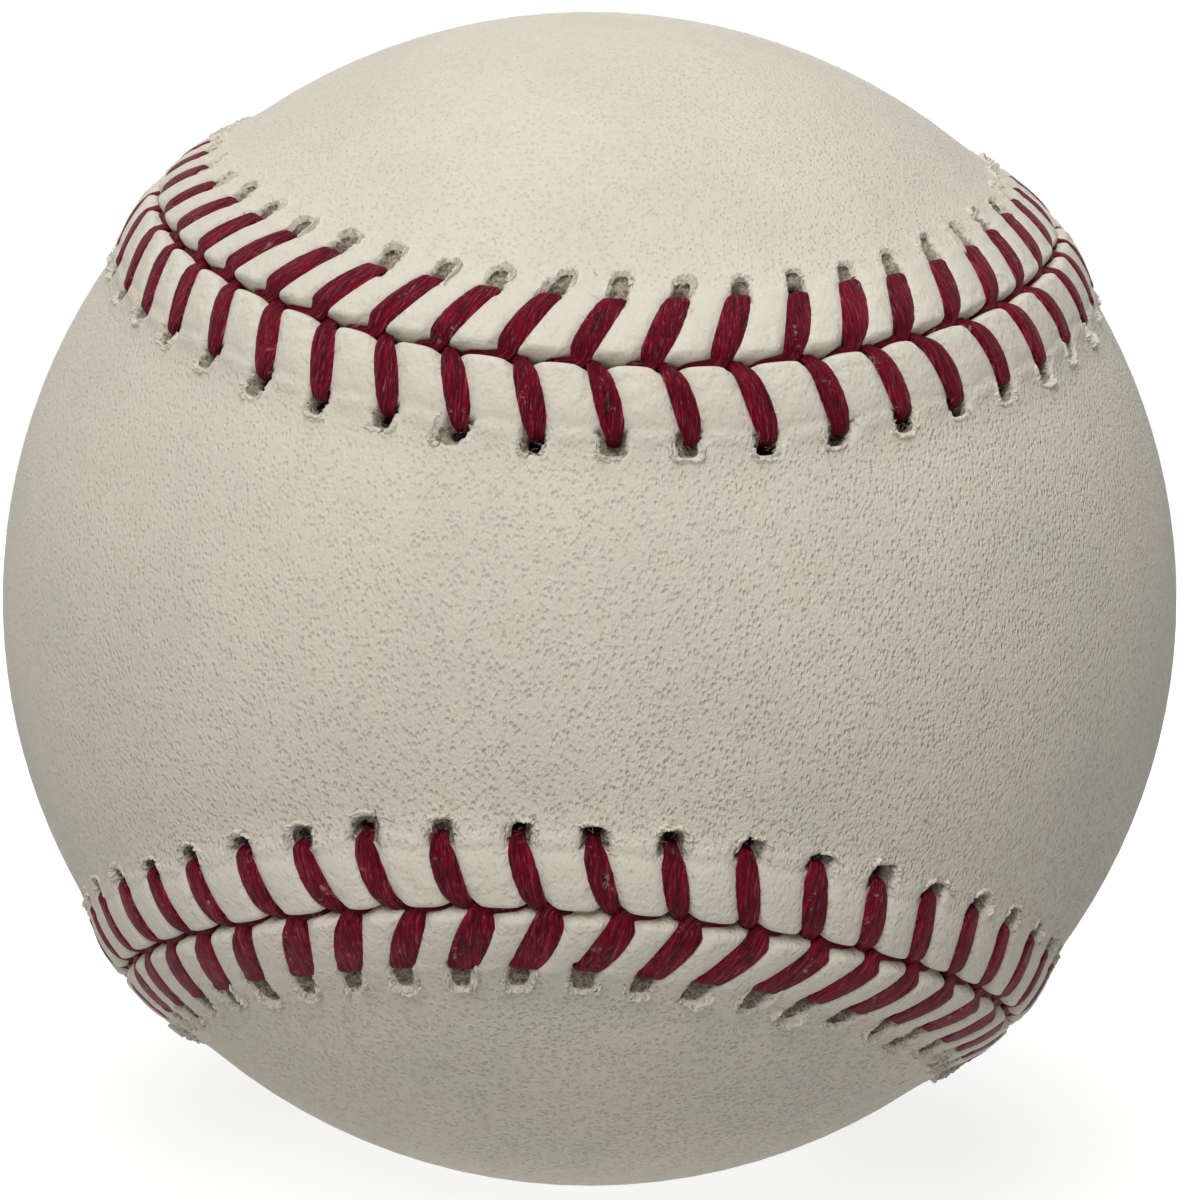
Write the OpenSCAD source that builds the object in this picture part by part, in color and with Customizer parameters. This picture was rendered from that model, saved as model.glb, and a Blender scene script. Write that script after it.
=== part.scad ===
// Baseball, regulation size: moulded core, four windings, two hide panels and one waxed thread.
// The origin is the ball's centre. The waist of panel A faces -Y, and its long way runs along X.

/* [Core] */
// Diameter of the cork and rubber composition sphere
core_d = 20.6; // [19:0.1:22]
// Wall of each black rubber half shell round the core
half_shell_wall = 4; // [3.5:0.1:4.5]
// Thickness of the red washer that joins the two half shells
washer_t = 1.6; // [1.2:0.1:2]
// Wall of the red rubber shell moulded over the half shells
outer_shell_wall = 2.4; // [2:0.1:3]

/* [Windings] */
// Depth of the first winding, four-ply grey wool
winding_1_t = 14.4; // [13:0.1:15]
// Depth of the second winding, three-ply white wool
winding_2_t = 1.7; // [1.4:0.1:2]
// Depth of the third winding, three-ply grey wool
winding_3_t = 1.8; // [1.5:0.1:2.2]
// Depth of the finishing winding, white polyester and cotton
finishing_t = 0.6; // [0.4:0.05:0.9]
// Thickness of the rubber cement coat
cement_t = 0.15; // [0.1:0.05:0.3]

/* [Cover] */
// Thickness of the hide
hide_t = 1.3; // [1.1:0.05:1.5]
// Seam to seam over the surface, at the narrowest part of a panel
waist_w = 28.8; // [27:0.1:31]
// Height of the lip beside the seam, over the rest of the cover
lip_h = 0.65; // [0.4:0.05:0.9]
// Width of the raised lip
lip_w = 5; // [4.6:0.1:5.6]
// Width of the open groove between the two panels, at the seam
groove_w = 0.8; // [0.6:0.05:1]
// Depth of the rounded edge of the hide below the cover's surface
edge_drop = 0.3; // [0.2:0.05:0.4]

/* [Stitching] */
// Number of holes along the edge of each panel, an even number
stitches = 108; // [104:2:112]
// Distance from the groove to the near end of a hole
hole_set = 3.6; // [3.2:0.1:4]
// Width of a hole, along the seam
hole_w = 1.2; // [1:0.05:1.4]
// Width of the flat waxed thread
thread_w = 1.1; // [0.9:0.05:1.3]
// Thickness of the flat waxed thread
thread_t = 0.42; // [0.3:0.02:0.45]

/* [Hidden] */
// Clearance between one layer and the next
fit_gap = 0.05;
// The thread under the hide, and how far the hide is lifted over it
tunnel_h = thread_t + 2 * fit_gap;

core_r = core_d / 2;
half_shell_in = core_r + fit_gap;
half_shell_out = half_shell_in + half_shell_wall;
outer_shell_in = half_shell_out + fit_gap;
outer_shell_out = outer_shell_in + outer_shell_wall;
winding_1_in = outer_shell_out + fit_gap;
winding_1_out = winding_1_in + winding_1_t;
winding_2_in = winding_1_out + fit_gap;
winding_2_out = winding_2_in + winding_2_t;
winding_3_in = winding_2_out + fit_gap;
winding_3_out = winding_3_in + winding_3_t;
finishing_in = winding_3_out + fit_gap;
finishing_out = finishing_in + finishing_t;
cement_in = finishing_out + fit_gap;
cement_out = cement_in + cement_t;
hide_in = cement_out + fit_gap;
ball_r = hide_in + hide_t;

// Seam curve: the polar and turning angles of a wave that goes twice round the Y axis.
// The small shares round its lobes as a cut panel has them.
waist_angle = waist_w / 2 / ball_r * 180 / PI;
swing_share = 23.7;
polar_3_share = 0.74;
polar_5_share = 0.32;
turn_4_share = 0.86;
turn_6_share = 0.17;
function polar(t) = 90 - (90 - waist_angle) * cos(t)
    + polar_3_share * (cos(3 * t) - cos(t)) + polar_5_share * (cos(5 * t) - cos(t));
function turn(t) = t / 2 + swing_share * sin(2 * t) + turn_4_share * sin(4 * t) + turn_6_share * sin(6 * t);
function seam(t) = [-sin(polar(t)) * sin(turn(t)), -cos(polar(t)), sin(polar(t)) * cos(turn(t))];
function unit(v) = v / norm(v);

// Length along the seam on a unit ball, paired with the curve's parameter
seam_steps = 720;
seam_turn = 720;
seam_step = seam_turn / seam_steps;
seam_run = [for (i = 0, run = 0; i <= seam_steps;
    run = run + norm(seam((i + 1) * seam_step) - seam(i * seam_step)), i = i + 1) [run, i * seam_step]];
seam_len = seam_run[seam_steps][0];
function wrap(n, whole) = n - whole * floor(n / whole);
function along(stitch) = lookup(wrap(stitch, stitches) / stitches * seam_len, seam_run);

// A point by its place along the seam in stitches, its distance from the groove towards
// panel A, and its radius
tangent_step = 0.5;
function seam_point(stitch, side, r) =
    let (t = along(stitch), s = seam(t))
    let (n = unit(cross(s, seam(t + tangent_step) - seam(t - tangent_step))))
    let (a = side / ball_r * 180 / PI)
    r * (cos(a) * s + sin(a) * n);

// Hand sewing draws the stitches a little closer in places
drift_share = 0.29;
crowd_share = 0.43;
stitch_turn = seam_turn / stitches;
function hole(i) = i - drift_share * cos(i * stitch_turn / 2) - crowd_share * sin(i * stitch_turn);

// How far along the seam a leg runs from its hole to the groove, in stitches.
// The hide's stretch round the lobes makes the legs lean more on one side of each.
lean_a_share = 0.27;
lean_b_share = 0.55;
lean_sway_share = 0.18;
function lean(i, base) = base + lean_sway_share * sin(i * stitch_turn);

// The grid of one panel: two rings of points to a stitch, rows joined across the panel
rings = 2 * stitches;
rows = stitches;
top_columns = 9;
under_columns = 7;
pitch = seam_len * ball_r / stitches;
half_hole = hole_w / 2 / pitch;
// Flat facets under the hide are lifted by their sag, so that they clear the cement coat
facet_half_angle = 8;
facet_lift = hide_in * (1 - cos(facet_half_angle));

// Distance from the groove and radius of each ring on top of the hide and under it.
// The lip rises over the hide's rounded edge and falls away past the holes.
lip_front_share = 0.92;
lip_back_share = 0.8;
top_rings = [
    [groove_w / 2, ball_r - edge_drop],
    [groove_w / 2 + hide_t / 2, ball_r + lip_h * lip_front_share],
    [hole_set, ball_r + lip_h * lip_back_share],
    [lip_w, ball_r]
];
under_rings = [for (set = [groove_w / 2, hole_set, lip_w]) [set, hide_in + tunnel_h]];
top_last = len(top_rings) - 1;
under_last = len(under_rings) - 1;

function ring_stitch(j) = hole(floor(j / 2)) + (j % 2 == 0 ? -half_hole : half_hole);
function ring_points(levels, side) =
    [for (level = levels) for (j = [0:rings - 1]) seam_point(ring_stitch(j), side * level[0], level[1])];
function between(p, q, share) =
    let (angle = acos(min(1, p * q)))
    (sin((1 - share) * angle) * p + sin(share * angle) * q) / sin(angle);
function row_points(first, columns, edge, side, r) =
    [for (q = [1:rows - 1])
        let (p1 = unit(seam_point(ring_stitch(wrap(first - q, rings)), side * edge, ball_r)))
        let (p2 = unit(seam_point(ring_stitch(wrap(first + q, rings)), side * edge, ball_r)))
        for (c = [1:columns - 1]) r * between(p1, p2, c / columns)];

function ring_index(start, level, j) = start + level * rings + wrap(j, rings);
function cell_index(start, last, first, columns, q, c) =
    q == 0 ? ring_index(start, last, first)
    : q == rows ? ring_index(start, last, first + rows)
    : c == 0 ? ring_index(start, last, first - q)
    : c == columns ? ring_index(start, last, first + q)
    : start + (last + 1) * rings + (q - 1) * (columns - 1) + c - 1;
function triangles(quad) =
    quad[0] == quad[3] ? [[quad[0], quad[1], quad[2]]]
    : quad[1] == quad[2] ? [[quad[0], quad[1], quad[3]]]
    : [[quad[0], quad[1], quad[2]], [quad[0], quad[2], quad[3]]];
function turned(faces, flip) = flip ? [for (f = faces) [f[2], f[1], f[0]]] : faces;
function strip_faces(start, last, flip) =
    turned([for (level = [0:last - 1]) for (j = [0:rings - 1]) if (level < last - 1 || j % 2 == 1)
        each triangles([ring_index(start, level, j), ring_index(start, level + 1, j),
            ring_index(start, level + 1, j + 1), ring_index(start, level, j + 1)])], flip);
function row_faces(start, last, first, columns, flip) =
    turned([for (q = [0:rows - 1]) for (c = [0:columns - 1])
        each triangles([cell_index(start, last, first, columns, q, c),
            cell_index(start, last, first, columns, q + 1, c),
            cell_index(start, last, first, columns, q + 1, c + 1),
            cell_index(start, last, first, columns, q, c + 1)])], flip);
function cell_corners(start, level, j) = [ring_index(start, level, j), ring_index(start, level, j + 1),
    ring_index(start, level + 1, j + 1), ring_index(start, level + 1, j)];
function wall_faces(top, under, flip) =
    let (n = len(top))
    turned([for (i = [0:n - 1])
        each triangles([top[(i + 1) % n], top[i], under[i], under[(i + 1) % n]])], flip);

// One hide panel: side is 1 for panel A and -1 for panel B, first is the ring at one lobe's tip
module panel(side, first) {
    flip = side < 0;
    top_points = concat(ring_points(top_rings, side), row_points(first, top_columns, lip_w, side, ball_r));
    under_points = concat(ring_points(under_rings, side),
        row_points(first, under_columns, lip_w, side, hide_in + facet_lift));
    under_start = len(top_points);
    edge_faces = [for (j = [0:rings - 1])
        each triangles([ring_index(0, 0, j), ring_index(0, 0, j + 1),
            ring_index(under_start, 0, j + 1), ring_index(under_start, 0, j)])];
    hole_faces = [for (j = [0:2:rings - 2])
        each wall_faces(cell_corners(0, top_last - 1, j), cell_corners(under_start, under_last - 1, j), flip)];
    polyhedron(points = concat(top_points, under_points), faces = concat(
        strip_faces(0, top_last, flip),
        row_faces(0, top_last, first, top_columns, flip),
        strip_faces(under_start, under_last, !flip),
        row_faces(under_start, under_last, first, under_columns, !flip),
        turned(edge_faces, flip),
        hole_faces));
}

// The thread's way from under a hole, up through it, over the lip and down the groove
thread_low = hide_in + tunnel_h / 2;
thread_top = ball_r + lip_h + thread_t / 2 + fit_gap;
exit_set = hole_set + thread_t;
shoulder_set = groove_w / 2 + hide_t / 4;
crown_set_share = 0.6;
crown_set = hole_set * crown_set_share;
function leg_point(i, side, base, set, r) =
    seam_point(hole(i) + lean(i, base) * (1 - set / exit_set), side * set, r);
function leg_points(i, side, base) = [
    leg_point(i, side, base, exit_set, thread_low),
    leg_point(i, side, base, exit_set, thread_top - lip_h * (1 - lip_back_share)),
    leg_point(i, side, base, crown_set, thread_top),
    leg_point(i, side, base, shoulder_set, thread_top - lip_h * (1 - lip_front_share)),
    leg_point(i, side, base, 0, thread_low)
];
// The thread is drawn narrower where it goes through the hole and down the groove
leg_width_shares = [0.8, 0.9, 1, 0.9, 0.7];
leg_steps = len(leg_width_shares);

// One needle's half of the thread: its legs lie on panel A and on panel B in turn
module strand(start) {
    legs = [for (i = [0:stitches - 1]) (i + start) % 2 == 0
        ? leg_points(i, 1, lean_a_share) : leg_points(i, -1, lean_b_share)];
    path = [for (leg = legs) each leg];
    n = len(path);
    points = [for (i = [0:n - 1])
        let (ahead = unit(path[(i + 1) % n] - path[(i + n - 1) % n]))
        let (stitch = hole(floor(i / leg_steps)))
        let (seam_way = seam_point(stitch + half_hole, 0, ball_r) - seam_point(stitch - half_hole, 0, ball_r))
        let (across = unit(seam_way - ahead * (seam_way * ahead)))
        let (up = cross(ahead, across))
        let (half_w = thread_w * leg_width_shares[i % leg_steps] / 2, half_t = thread_t / 2)
        each [path[i] + across * half_w + up * half_t, path[i] - across * half_w + up * half_t,
            path[i] - across * half_w - up * half_t, path[i] + across * half_w - up * half_t]];
    faces = [for (i = [0:n - 1]) for (c = [0:3])
        let (a = 4 * i + c, b = 4 * i + (c + 1) % 4)
        let (d = 4 * ((i + 1) % n) + c, e = 4 * ((i + 1) % n) + (c + 1) % 4)
        each triangles([a, d, e, b])];
    polyhedron(points = points, faces = faces);
}

module layer(r_in, r_out) {
    difference() {
        sphere(r = r_out, $fn = 96);
        sphere(r = r_in, $fn = 96);
    }
}

// Half of a layer, over or under the washer's gap, which lies across the Z axis
module half_layer(r_in, r_out, gap, side) {
    intersection() {
        layer(r_in, r_out);
        translate([0, 0, side * (gap / 2 + r_out)]) cube(2 * r_out, center = true);
    }
}

module cork_core() {
    color("saddlebrown") sphere(r = core_r, $fn = 96);
}

module inner_rubber_shell_upper() {
    color("dimgray") half_layer(half_shell_in, half_shell_out, washer_t + 2 * fit_gap, 1);
}

module inner_rubber_shell_lower() {
    color("dimgray") half_layer(half_shell_in, half_shell_out, washer_t + 2 * fit_gap, -1);
}

module rubber_washer() {
    color("firebrick") intersection() {
        layer(half_shell_in, half_shell_out);
        cube([2 * half_shell_out, 2 * half_shell_out, washer_t], center = true);
    }
}

module outer_rubber_shell() {
    color("firebrick") layer(outer_shell_in, outer_shell_out);
}

module wool_winding_1() {
    color("darkgray") layer(winding_1_in, winding_1_out);
}

module wool_winding_2() {
    color("whitesmoke") layer(winding_2_in, winding_2_out);
}

module wool_winding_3() {
    color("darkgray") layer(winding_3_in, winding_3_out);
}

module finishing_winding() {
    color("white") layer(finishing_in, finishing_out);
}

module cement_coat() {
    color("lightgoldenrodyellow") layer(cement_in, cement_out);
}

module cover_panel_a() {
    color("ivory") panel(1, rows / 2);
}

module cover_panel_b() {
    color("ivory") panel(-1, 0);
}

module thread_strand_a() {
    color("darkred") strand(0);
}

module thread_strand_b() {
    color("darkred") strand(1);
}

cork_core();
inner_rubber_shell_upper();
inner_rubber_shell_lower();
rubber_washer();
outer_rubber_shell();
wool_winding_1();
wool_winding_2();
wool_winding_3();
finishing_winding();
cement_coat();
cover_panel_a();
cover_panel_b();
thread_strand_a();
thread_strand_b();
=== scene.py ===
import math

import bpy
import numpy as np
from mathutils import Matrix, Vector


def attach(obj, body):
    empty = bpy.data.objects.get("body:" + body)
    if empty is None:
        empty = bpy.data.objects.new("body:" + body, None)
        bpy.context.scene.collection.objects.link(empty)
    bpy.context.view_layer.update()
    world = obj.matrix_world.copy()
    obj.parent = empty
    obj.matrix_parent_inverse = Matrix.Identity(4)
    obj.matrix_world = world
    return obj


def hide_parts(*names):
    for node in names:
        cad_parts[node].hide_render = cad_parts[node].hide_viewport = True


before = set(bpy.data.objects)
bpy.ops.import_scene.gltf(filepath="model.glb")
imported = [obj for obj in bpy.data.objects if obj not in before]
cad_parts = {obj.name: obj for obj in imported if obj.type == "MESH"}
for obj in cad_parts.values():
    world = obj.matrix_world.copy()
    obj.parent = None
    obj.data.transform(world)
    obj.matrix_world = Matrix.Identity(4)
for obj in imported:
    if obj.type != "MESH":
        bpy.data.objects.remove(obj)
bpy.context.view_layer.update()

# Cork core. A moulded ball of cork granules in brown rubber, the heart of the pill.
# It stays as the frame has it and gets the speckle of ground cork.

CORK = "#8A6038"
CORK_DARK = "#4A2E1A"
CORK_GRANULE_MM = 1.6


def srgb(code):
    """Linear colour of an sRGB hex value."""
    parts = [int(code[i:i + 2], 16) / 255 for i in (1, 3, 5)]
    return [c / 12.92 if c <= 0.04045 else ((c + 0.055) / 1.055) ** 2.4 for c in parts] + [1.0]


def per_metre(size_mm):
    """Texture scale that gives features of this size."""
    return 1000.0 / size_mm


def add_node(tree, kind, inputs=None, **settings):
    """A node with its settings, and its inputs set to values or linked to sockets."""
    made = tree.nodes.new(kind)
    for name, value in settings.items():
        setattr(made, name, value)
    for name, value in (inputs or {}).items():
        if isinstance(value, bpy.types.NodeSocket):
            tree.links.new(value, made.inputs[name])
        else:
            made.inputs[name].default_value = value
    return made


def new_material(name, roughness, **sockets):
    """An empty finish with one shader, and its tree, shader and object coordinates."""
    material = bpy.data.materials.new(name)
    material.use_nodes = True
    tree = material.node_tree
    shader = tree.nodes["Principled BSDF"]
    shader.inputs["Roughness"].default_value = roughness
    for socket, value in sockets.items():
        shader.inputs[socket.replace("_", " ")].default_value = value
    place = add_node(tree, "ShaderNodeTexCoord").outputs["Object"]
    return material, tree, shader, place


def dress(name, material):
    """Gives a node of the frame its finish."""
    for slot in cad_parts[name].material_slots:
        slot.material = material


cork, tree, shader, place = new_material("cork_composition_moulded", 0.75)
cells = add_node(tree, "ShaderNodeTexVoronoi", {"Vector": place, "Scale": per_metre(CORK_GRANULE_MM)})
speck = add_node(tree, "ShaderNodeMix", {0: cells.outputs["Distance"], 6: srgb(CORK), 7: srgb(CORK_DARK)},
                 data_type="RGBA")
tree.links.new(speck.outputs[2], shader.inputs["Base Color"])
bump = add_node(tree, "ShaderNodeBump", {"Height": cells.outputs["Distance"], "Distance": 0.0002})
tree.links.new(bump.outputs["Normal"], shader.inputs["Normal"])
dress("cork_core", cork)

# Black rubber half shells. Two moulded cups of black rubber that close round the cork.
# Moulded rubber is matt, with a fine bloom from the mould's powder.

BLACK_RUBBER = "#1C1B1B"
BLACK_RUBBER_BLOOM = "#343231"
BLOOM_MM = 2.5
BLOOM_RELIEF_MM = 0.04
MM = 0.001


def rubber(name, colour, bloom):
    """Moulded rubber with its powdery bloom."""
    material, tree, shader, place = new_material(name, 0.62)
    cloud = add_node(tree, "ShaderNodeTexNoise", {"Vector": place, "Scale": per_metre(BLOOM_MM),
                                                  "Detail": 6.0})
    mixed = add_node(tree, "ShaderNodeMix", {0: cloud.outputs["Fac"], 6: srgb(colour), 7: srgb(bloom)},
                     data_type="RGBA")
    tree.links.new(mixed.outputs[2], shader.inputs["Base Color"])
    grain = add_node(tree, "ShaderNodeBump", {"Height": cloud.outputs["Fac"],
                                              "Distance": BLOOM_RELIEF_MM * MM})
    tree.links.new(grain.outputs["Normal"], shader.inputs["Normal"])
    return material


black_rubber = rubber("black_rubber_moulded", BLACK_RUBBER, BLACK_RUBBER_BLOOM)
dress("inner_rubber_shell_upper", black_rubber)
dress("inner_rubber_shell_lower", black_rubber)

# Red rubber washer and outer shell. The washer seals the joint of the half shells, and the
# shell is moulded over both, which makes the pill that the yarn is wound on.

RED_RUBBER = "#8E2A22"
RED_RUBBER_BLOOM = "#A84A3E"
red_rubber = rubber("red_rubber_moulded", RED_RUBBER, RED_RUBBER_BLOOM)
dress("rubber_washer", red_rubber)
dress("outer_rubber_shell", red_rubber)

# Windings. Wool and cotton yarn, wound under tension in great circles that cross everywhere.
# Wound yarn is matt and soft, and its turns show as fine ridges that cross at all angles.

WOOL_GREY = ("#6E6A66", "#A8A49E")
WOOL_WHITE = ("#B9B3A2", "#E3DECF")
COTTON_WHITE = ("#C9C4B6", "#F0ECE0")
YARN_MM = 0.9
FINE_YARN_MM = 0.45
PATCH_YARNS = 9
WAVE_PERIOD = 20


def yarn(name, colours, yarn_mm):
    """Wound yarn: the ridges of its turns, which run another way in each patch."""
    material, tree, shader, place = new_material(name, 0.9)
    patch = add_node(tree, "ShaderNodeTexVoronoi", {"Vector": place,
                                                    "Scale": per_metre(PATCH_YARNS * yarn_mm)})
    turned = add_node(tree, "ShaderNodeVectorRotate", {"Vector": place, "Rotation": patch.outputs["Color"]},
                      rotation_type="EULER_XYZ")
    ridges = add_node(tree, "ShaderNodeTexWave", {"Vector": turned.outputs["Vector"],
                                                  "Scale": per_metre(yarn_mm) / WAVE_PERIOD,
                                                  "Distortion": 1.5})
    mixed = add_node(tree, "ShaderNodeMix", {0: ridges.outputs["Fac"], 6: srgb(colours[0]),
                                             7: srgb(colours[1])}, data_type="RGBA")
    tree.links.new(mixed.outputs[2], shader.inputs["Base Color"])
    relief = add_node(tree, "ShaderNodeBump", {"Height": ridges.outputs["Fac"],
                                               "Distance": yarn_mm / 3 * MM})
    tree.links.new(relief.outputs["Normal"], shader.inputs["Normal"])
    return material


grey_wool = yarn("grey_wool_wound", WOOL_GREY, YARN_MM)
dress("wool_winding_1", grey_wool)
dress("wool_winding_2", yarn("white_wool_wound", WOOL_WHITE, YARN_MM))
dress("wool_winding_3", grey_wool)
dress("finishing_winding", yarn("cotton_yarn_wound", COTTON_WHITE, FINE_YARN_MM))

# Rubber cement. The wound ball is dipped in it, so that the hide sticks to the yarn.
# It dries to a thin amber skin with a dull shine.

CEMENT = "#BBAA7C"
CEMENT_THIN = "#D8CBA6"
dress("cement_coat", rubber("rubber_cement_dried", CEMENT, CEMENT_THIN))

# Hide panels. Two figure-8 pieces of white alum-tanned cowhide, stretched damp over the ball,
# butted edge to edge and sewn. The thread pulls the edges up into lips, which puff out between
# the stitches, and each awl hole is torn out to a short slit beyond the thread.

# Sizes in mm. Where there are two, 1 is panel A's and -1 is panel B's.
BALL_R = 37.05
HIDE_T = 1.3
WAIST_W = 28.8
STITCHES = 108
GROOVE_GAP = 0.05
LIP_H = 0.78
LIP_CREST = {1: 0.62, -1: 0.50}
LIP_W = {1: 6.2, -1: 7.2}
LIP_FALL = 1.2
EDGE_DROP = {1: 0.62, -1: 0.50}
# What the thread does to the lip: it presses it down, most at the edge, pulls the edge back, lets
# it puff out between two legs, and folds it where a leg goes down its hole.
PRESS = 0.30
EDGE_PRESS = 0.38
EDGE_PRESS_REACH = 0.75
EDGE_BACK = 0.30
EDGE_BACK_W = 0.80
EDGE_BACK_REACH = 1.2
PUFF = 0.12
PUFF_FROM = 0.95
CREASE = {1: 0.09, -1: 0.05}
CREASE_BEFORE = 0.55
CREASE_W = 0.28
SLIT_DEPTH = 0.42
SLIT_RAGGED = 0.075
SLIT_ROUGH = 0.08
HOLE_DEPTH = 0.85
HOLE_PLACE = 0.30
HOLE_HALF_W = 0.50
HOLE_HALF_L = 0.46

WAIST_ANGLE = WAIST_W / 2 / BALL_R
SWING, TURN_4, TURN_6 = np.radians([23.7, 0.86, 0.17])
POLAR_3, POLAR_5 = np.radians([0.74, 0.32])
SEAM_STEPS = 14400


def seam(t):
    """The seam on a unit ball, at its parameter from 0 to 4 pi."""
    polar = (math.pi / 2 - (math.pi / 2 - WAIST_ANGLE) * np.cos(t)
             + POLAR_3 * (np.cos(3 * t) - np.cos(t)) + POLAR_5 * (np.cos(5 * t) - np.cos(t)))
    turn = t / 2 + SWING * np.sin(2 * t) + TURN_4 * np.sin(4 * t) + TURN_6 * np.sin(6 * t)
    return np.stack([-np.sin(polar) * np.sin(turn), -np.cos(polar), np.sin(polar) * np.cos(turn)], -1)


def unit(v):
    """Vectors of length 1."""
    return v / np.linalg.norm(v, axis=-1, keepdims=True)


seam_t = np.linspace(0, 4 * math.pi, SEAM_STEPS + 1)
seam_run = np.concatenate([[0], np.cumsum(np.linalg.norm(np.diff(seam(seam_t), axis=0), axis=-1))])
PITCH = seam_run[-1] * BALL_R / STITCHES


def seam_frame(k):
    """Outward, along and towards-panel-A directions of the seam at a place given in stitches."""
    t = np.interp(np.mod(k, STITCHES) / STITCHES * seam_run[-1], seam_run, seam_t)
    out = unit(seam(t))
    along = unit(seam(t + 1e-3) - seam(t - 1e-3))
    return out, along, np.cross(out, along)


def place_on_ball(k, s, h):
    """Points in mm: k stitches along the seam, s mm from the groove towards panel A, h mm up."""
    out, along, across = seam_frame(k)
    angle = (s / BALL_R)[..., None]
    return (BALL_R + h)[..., None] * (np.cos(angle) * out + np.sin(angle) * across)


# Each hole's place and each leg's own habit: how far it leans along the seam, where it ends, its
# width and bow, and its slit's end, half width, skew and tear, and how deep its hole is and how
# much painted shade darkens it. Hand sewing varies, so each has a little of its own. On panel B the
# slits are worn more on the half of the seam round stitch 54, which is the lower seam in front, and
# there their holes are also deeper and get more painted shade.
SIDES = (1, -1)
PITCH_SWAY = (0.29, 0.43)
PITCH_SPREAD = 0.02
LEAN = {1: 0.30, -1: 0.55}
LEAN_SWAY = 0.18
BEND = {1: 1.45, -1: 0.86}
TIP = {1: 4.05, -1: 3.65}
LEG_W = 1.42
LEG_BOW = 0.03
WIDER = {1: 0.0, -1: 0.30}
SLIT_END = {1: 4.98, -1: 4.98}
SLIT_HALF_W = 0.60
SKEW = {1: 0.0, -1: -0.25}
TEAR = {1: 0.18, -1: 0.05}
HOLE_SHOWS = {1: 0.92, -1: 0.35}
FAR_WORN = {1: 0.0, -1: 1.0}
FAR_LONGER = 0.28
FAR_WIDER = 0.10
FAR_DARKER = 0.20
SPREAD = {"lean": 0.03, "tip": 0.09, "end": 0.12, "width": 0.06, "bow": 0.06, "slit": 0.05,
          "skew": 0.12, "tear": 0.10, "hole": 0.22}

rng = np.random.default_rng(7)
number = np.arange(STITCHES)
stitch_turn = number * 4 * math.pi / STITCHES
hole_k = (number - PITCH_SWAY[0] * np.cos(stitch_turn / 2) - PITCH_SWAY[1] * np.sin(stitch_turn)
          + rng.normal(0, PITCH_SPREAD, STITCHES))
far_seam = 0.5 - 0.5 * np.cos(stitch_turn / 2)
legs = {}
for side in SIDES:
    worn = FAR_WORN[side] * far_seam
    middle = {"lean": LEAN[side] + LEAN_SWAY * np.sin(stitch_turn), "tip": TIP[side],
              "end": SLIT_END[side] + FAR_LONGER * worn, "width": LEG_W + WIDER[side] * far_seam,
              "bow": LEG_BOW, "slit": SLIT_HALF_W + FAR_WIDER * worn, "skew": SKEW[side],
              "tear": TEAR[side], "hole": HOLE_SHOWS[side] + FAR_DARKER * worn}
    legs[side] = {kind: value + rng.normal(0, SPREAD[kind], STITCHES) for kind, value in middle.items()}
    legs[side]["hole"] = np.clip(legs[side]["hole"], 0, 1)


def leg_offset(side, i, s):
    """How far along the seam, in mm, a leg's middle lies from its hole, s mm from the groove."""
    leg = legs[side]
    share = np.clip(s / leg["tip"][i], -0.2, 1)
    return (leg["lean"][i] * PITCH * np.clip(1 - share, 0, 2) ** BEND[side]
            + leg["bow"][i] * np.sin(math.pi * np.clip(share, 0, 1)))


def smooth(low, high, x):
    """A soft step from 0 at low to 1 at high."""
    q = np.clip((x - low) / (high - low), 0, 1)
    return q * q * (3 - 2 * q)


def lip(side, s):
    """Height of the lip over the field of the panel, before the thread presses it."""
    crest, drop = LIP_CREST[side], EDGE_DROP[side]
    front = -drop + (drop + LIP_H) * (1 - np.clip(1 - s / crest, 0, 1) ** 2.5) ** 0.4
    fall = np.clip((s - crest) / (LIP_W[side] - crest), 0, 1)
    return np.where(s < crest, front, LIP_H * (0.5 + 0.5 * np.cos(math.pi * fall ** LIP_FALL)))


def nearest_leg(side, k, s):
    """The nearest leg's number, and the distance along the seam from its middle in mm."""
    guess = np.searchsorted(hole_k, np.mod(k, STITCHES))
    best, found = np.full(np.shape(k), 1e9), np.zeros(np.shape(k), int)
    for step in (-2, -1, 0, 1):
        i = np.mod(guess + step, STITCHES)
        gap = k - hole_k[i]
        gap = (gap - STITCHES * np.round(gap / STITCHES)) * PITCH - leg_offset(side, i, s)
        closer = np.abs(gap) < np.abs(best)
        best, found = np.where(closer, gap, best), np.where(closer, i, found)
    return found, best


def pressed(side, k, s):
    """Height of the grain side as the thread pulls it down and puffs it out, and the edge's shift."""
    i, off = nearest_leg(side, k, s)
    leg = legs[side]
    reach = smooth(-0.2, 0.4, s) * (1 - smooth(leg["tip"][i] - 0.1, leg["tip"][i] + 0.6, s))
    squeeze = np.exp(-(np.abs(off) / (0.5 * leg["width"][i] + 0.06)) ** 4)
    puff = 1 - np.exp(-(off / PUFF_FROM) ** 2)
    pull = PRESS + EDGE_PRESS * np.exp(-(s / EDGE_PRESS_REACH) ** 2)
    height = lip(side, s) + reach * (PUFF * puff - pull * squeeze)
    fold = np.exp(-((s - leg["tip"][i] + CREASE_BEFORE) / CREASE_W) ** 2)
    back = EDGE_BACK * np.exp(-(off / EDGE_BACK_W) ** 2) * np.clip(1 - s / EDGE_BACK_REACH, 0, 1)
    return height - CREASE[side] * puff * fold, back


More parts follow.
